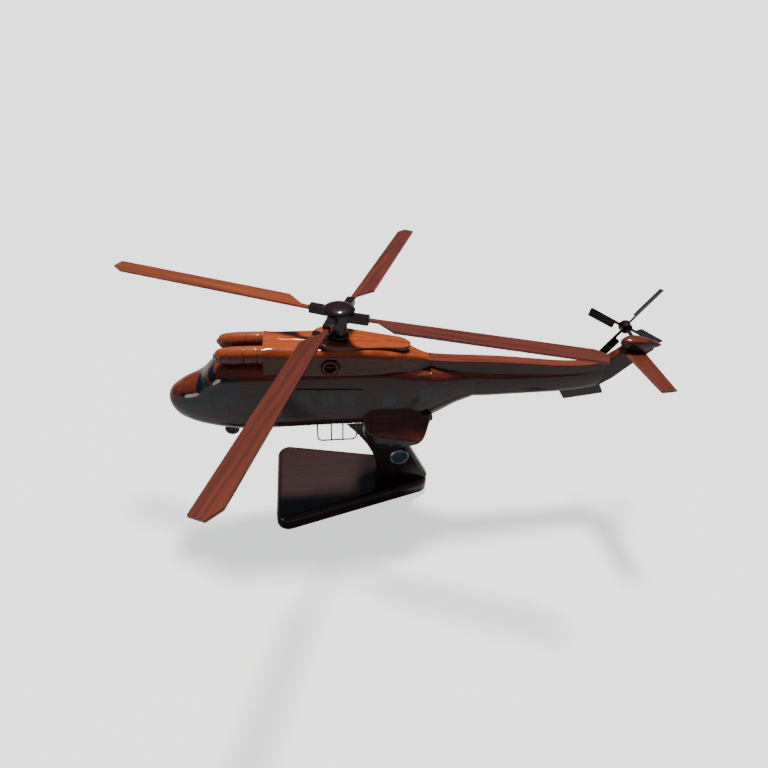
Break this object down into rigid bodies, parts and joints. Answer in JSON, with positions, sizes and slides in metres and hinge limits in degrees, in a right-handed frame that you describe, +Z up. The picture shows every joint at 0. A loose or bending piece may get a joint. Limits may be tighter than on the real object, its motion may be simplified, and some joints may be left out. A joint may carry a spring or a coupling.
{
  "type": "helicopter scale model",
  "caption": "Varnished hardwood desk model of a twin-engine transport helicopter with turning rotors, on a tapered wooden stand with a curved upright.",
  "frame": {"origin": "on the underside of the base, straight below the main rotor axis", "axes": "+Z is up, the nose points to -X, the tail to +X and the port side is -Y"},
  "size_m": [0.4737, 0.3609, 0.2074],
  "materials": {
    "mahogany": "glossy varnish over straight-grained mahogany",
    "stand_mahogany": "deep glossy varnish over dark stained mahogany",
    "blade_mahogany": "satin varnish, grain along the blade",
    "dark_mahogany": "glossy varnish over nearly black stained wood",
    "black_lacquer": "black gloss lacquer over turned wood",
    "glazing": "dark blue-green gloss inlay under clear varnish",
    "dark_wire": "dark lacquered steel wire",
    "steel_screw": "bright zinc-plated steel",
    "beech_dowel": "plain unfinished beech",
    "medallion_metal": "blue-grey enamel disc with a pale metal rim",
    "green_felt": "matt wool felt"
  },
  "bodies": {
    "airframe": {"base_felt": "green_felt", "base_plate": "stand_mahogany", "boarding_step_port": "dark_wire", "boarding_step_starboard": "dark_wire", "boom_dowels": "beech_dowel", "boom_spine": "mahogany", "cabin_windows_port": "glazing", "cabin_windows_starboard": "glazing", "chin_panes_port": "glazing", "chin_panes_starboard": "glazing", "door_rail_port": "mahogany", "door_rail_starboard": "mahogany", "engine_cowl": "mahogany", "exhaust_port": "mahogany", "exhaust_starboard": "mahogany", "fuselage": "mahogany", "gearbox_fairing": "mahogany", "mast_collar": "black_lacquer", "nacelle_dowels": "beech_dowel", "nacelle_port": "mahogany", "nacelle_starboard": "mahogany", "nose_leg": "dark_wire", "rotor_mast": "black_lacquer", "side_panes_port": "glazing", "side_panes_starboard": "glazing", "sponson_port": "mahogany", "sponson_starboard": "mahogany", "stabiliser": "mahogany", "stand_dowels": "beech_dowel", "stand_medallion": "medallion_metal", "stand_screws": "steel_screw", "stand_upright": "stand_mahogany", "tail_boom": "mahogany", "tail_gearbox_fairing": "mahogany", "tail_pylon": "mahogany", "ventral_fin": "mahogany", "windscreen_lower": "glazing", "windscreen_upper": "glazing"},
    "main_rotor": {"rotor_hub": "black_lacquer", "hub_dome": "dark_mahogany", "rotor_washer": "black_lacquer", "rotor_spindle": "dark_wire", "blade_grip_1": "dark_mahogany", "blade_grip_2": "dark_mahogany", "blade_grip_3": "dark_mahogany", "blade_grip_4": "dark_mahogany", "main_blade_1": "blade_mahogany", "main_blade_2": "blade_mahogany", "main_blade_3": "blade_mahogany", "main_blade_4": "blade_mahogany"},
    "tail_rotor": {"tail_shaft": "dark_wire", "tail_hub_disc": "dark_mahogany", "tail_hub_cap": "dark_mahogany", "tail_blade_1": "dark_mahogany", "tail_blade_2": "dark_mahogany", "tail_blade_3": "dark_mahogany", "tail_blade_4": "dark_mahogany"},
    "nose_wheels": {"nose_axle": "dark_wire", "nose_wheel_port": "black_lacquer", "nose_wheel_starboard": "black_lacquer"}
  },
  "joints": [
    {"name": "main_rotor_spin", "type": "hinge", "parent": "airframe", "child": "main_rotor", "pos_m": [0, 0, 0.195], "axis": [0, 0, 1], "continuous": true},
    {"name": "tail_rotor_spin", "type": "hinge", "parent": "airframe", "child": "tail_rotor", "pos_m": [0.2544, 0.0199, 0.1667], "axis": [0.0378, 0.9953, 0.0896], "continuous": true},
    {"name": "nose_wheel_spin", "type": "hinge", "parent": "airframe", "child": "nose_wheels", "pos_m": [-0.0895, 0, 0.09], "axis": [0, 1, 0], "continuous": true}
  ]
}
